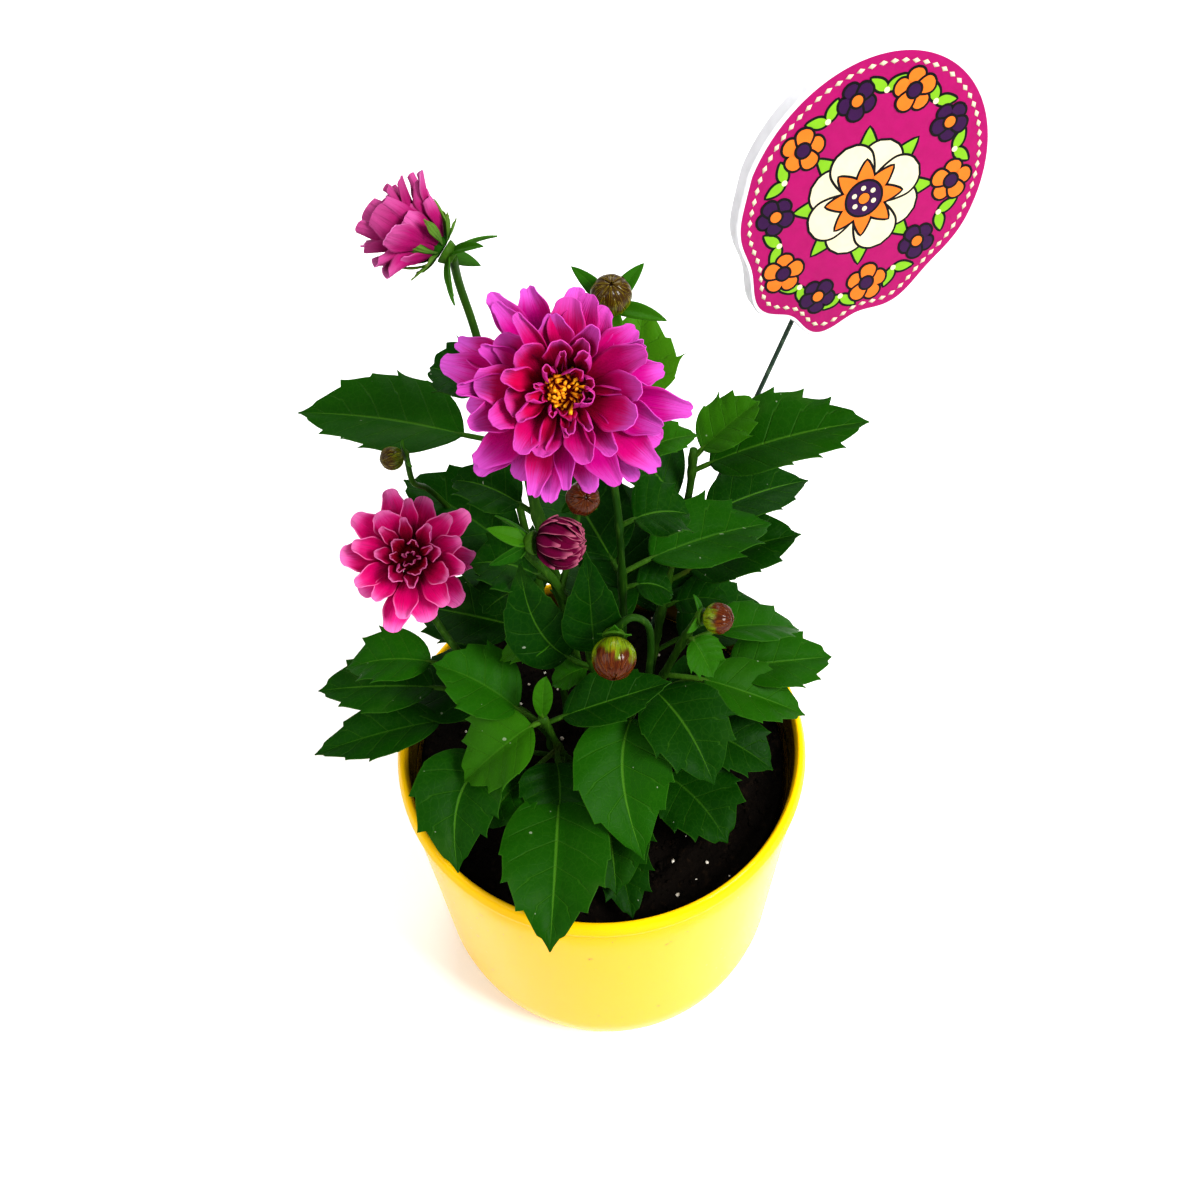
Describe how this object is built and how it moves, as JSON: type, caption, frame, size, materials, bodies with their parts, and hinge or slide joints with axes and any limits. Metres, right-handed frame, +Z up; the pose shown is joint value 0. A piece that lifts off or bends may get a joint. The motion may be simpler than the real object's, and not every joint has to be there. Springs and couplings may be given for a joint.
{
  "type": "potted flowering plant",
  "caption": "Compact dahlia with toothed leaves, layered blooms and round buds in a round glazed pot of soil, with an oval decorative pick on a slanted wire.",
  "frame": {"origin": "centre of the pot's base, on the plane that it stands on", "axes": "+Z up along the pot's axis, -Y towards the side that the blooms face, +X to the right seen from that side"},
  "size_m": [0.2178, 0.186, 0.3265],
  "materials": {
    "pot_glaze": "glossy yellow glaze",
    "soil": "matt dark peat mix with white grains",
    "leaf_green": "satin green leaf",
    "petals_magenta": "soft magenta petal",
    "petals_hot_pink": "soft hot pink petal",
    "petals_pink": "soft pink petal",
    "petals_purple": "soft purple petal",
    "disc_yellow": "matt yellow disc",
    "bud_skin": "glossy green to red-brown bud scales",
    "wire_coat": "dark green coated steel wire",
    "board_print": "satin printed wood board"
  },
  "bodies": {
    "root": {"pot": "pot_glaze", "soil": "soil", "stem_left": "leaf_green", "stem_rear_left": "leaf_green", "stem_main": "leaf_green", "stem_opening_bud": "leaf_green", "stem_rear_bud": "leaf_green", "stem_right_rear": "leaf_green", "stem_right": "leaf_green", "stem_nodding_bud": "leaf_green", "stem_front": "leaf_green", "stem_front_low": "leaf_green", "petals_main": "petals_magenta", "petals_left": "petals_hot_pink", "petals_rear_left": "petals_pink", "petals_opening_bud": "petals_purple", "disc_main": "disc_yellow", "bud_under_main": "bud_skin", "bud_rear": "bud_skin", "bud_nodding": "bud_skin", "bud_right": "bud_skin", "bud_small": "bud_skin", "pick_wire": "wire_coat", "pick_board": "board_print"}
  },
  "joints": []
}
